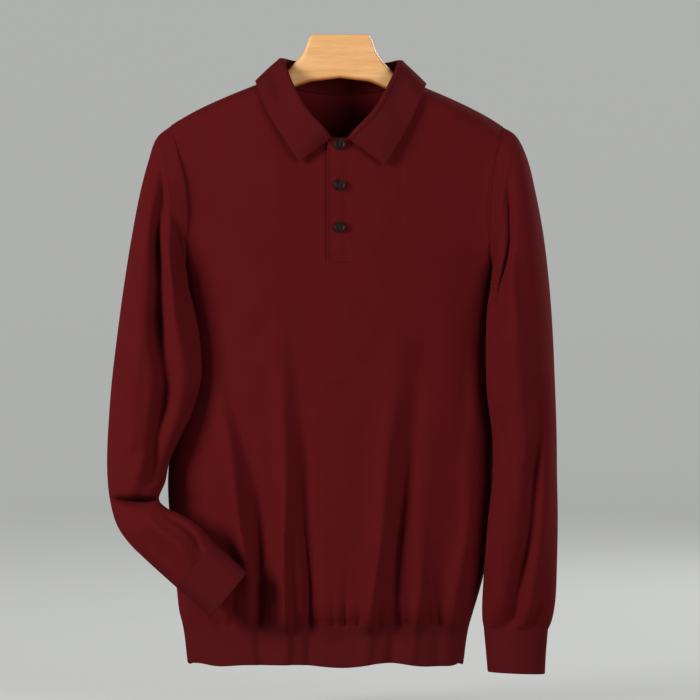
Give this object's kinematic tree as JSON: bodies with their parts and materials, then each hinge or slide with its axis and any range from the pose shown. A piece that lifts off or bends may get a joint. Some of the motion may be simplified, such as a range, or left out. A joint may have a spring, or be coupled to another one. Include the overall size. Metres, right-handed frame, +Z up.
{
  "type": "polo sweater on a hanger",
  "caption": "Long-sleeved knitted polo sweater with a fold-over collar and a buttoned placket, hung on a wooden hanger.",
  "frame": {"origin": "centre of the hanger's flat top, where the hanger is held", "axes": "+Z up, the front faces -Y, +X to the right as the front is seen"},
  "size_m": [0.5325, 0.1452, 0.7573],
  "materials": {
    "jersey": "fine burgundy plain knit, matt with a soft sheen",
    "rib": "fine burgundy rib, matt",
    "button": "dark brown horn look, half gloss",
    "wood": "pale wood under satin lacquer"
  },
  "bodies": {
    "root": {"front_panel": "jersey", "back_panel": "jersey", "sleeve_left": "jersey", "sleeve_right": "jersey", "cuff_left": "rib", "cuff_right": "rib", "hem_band": "rib", "collar": "rib", "placket_top": "rib", "placket_under": "rib", "button_1": "button", "button_2": "button", "button_3": "button", "hanger": "wood"}
  },
  "joints": []
}
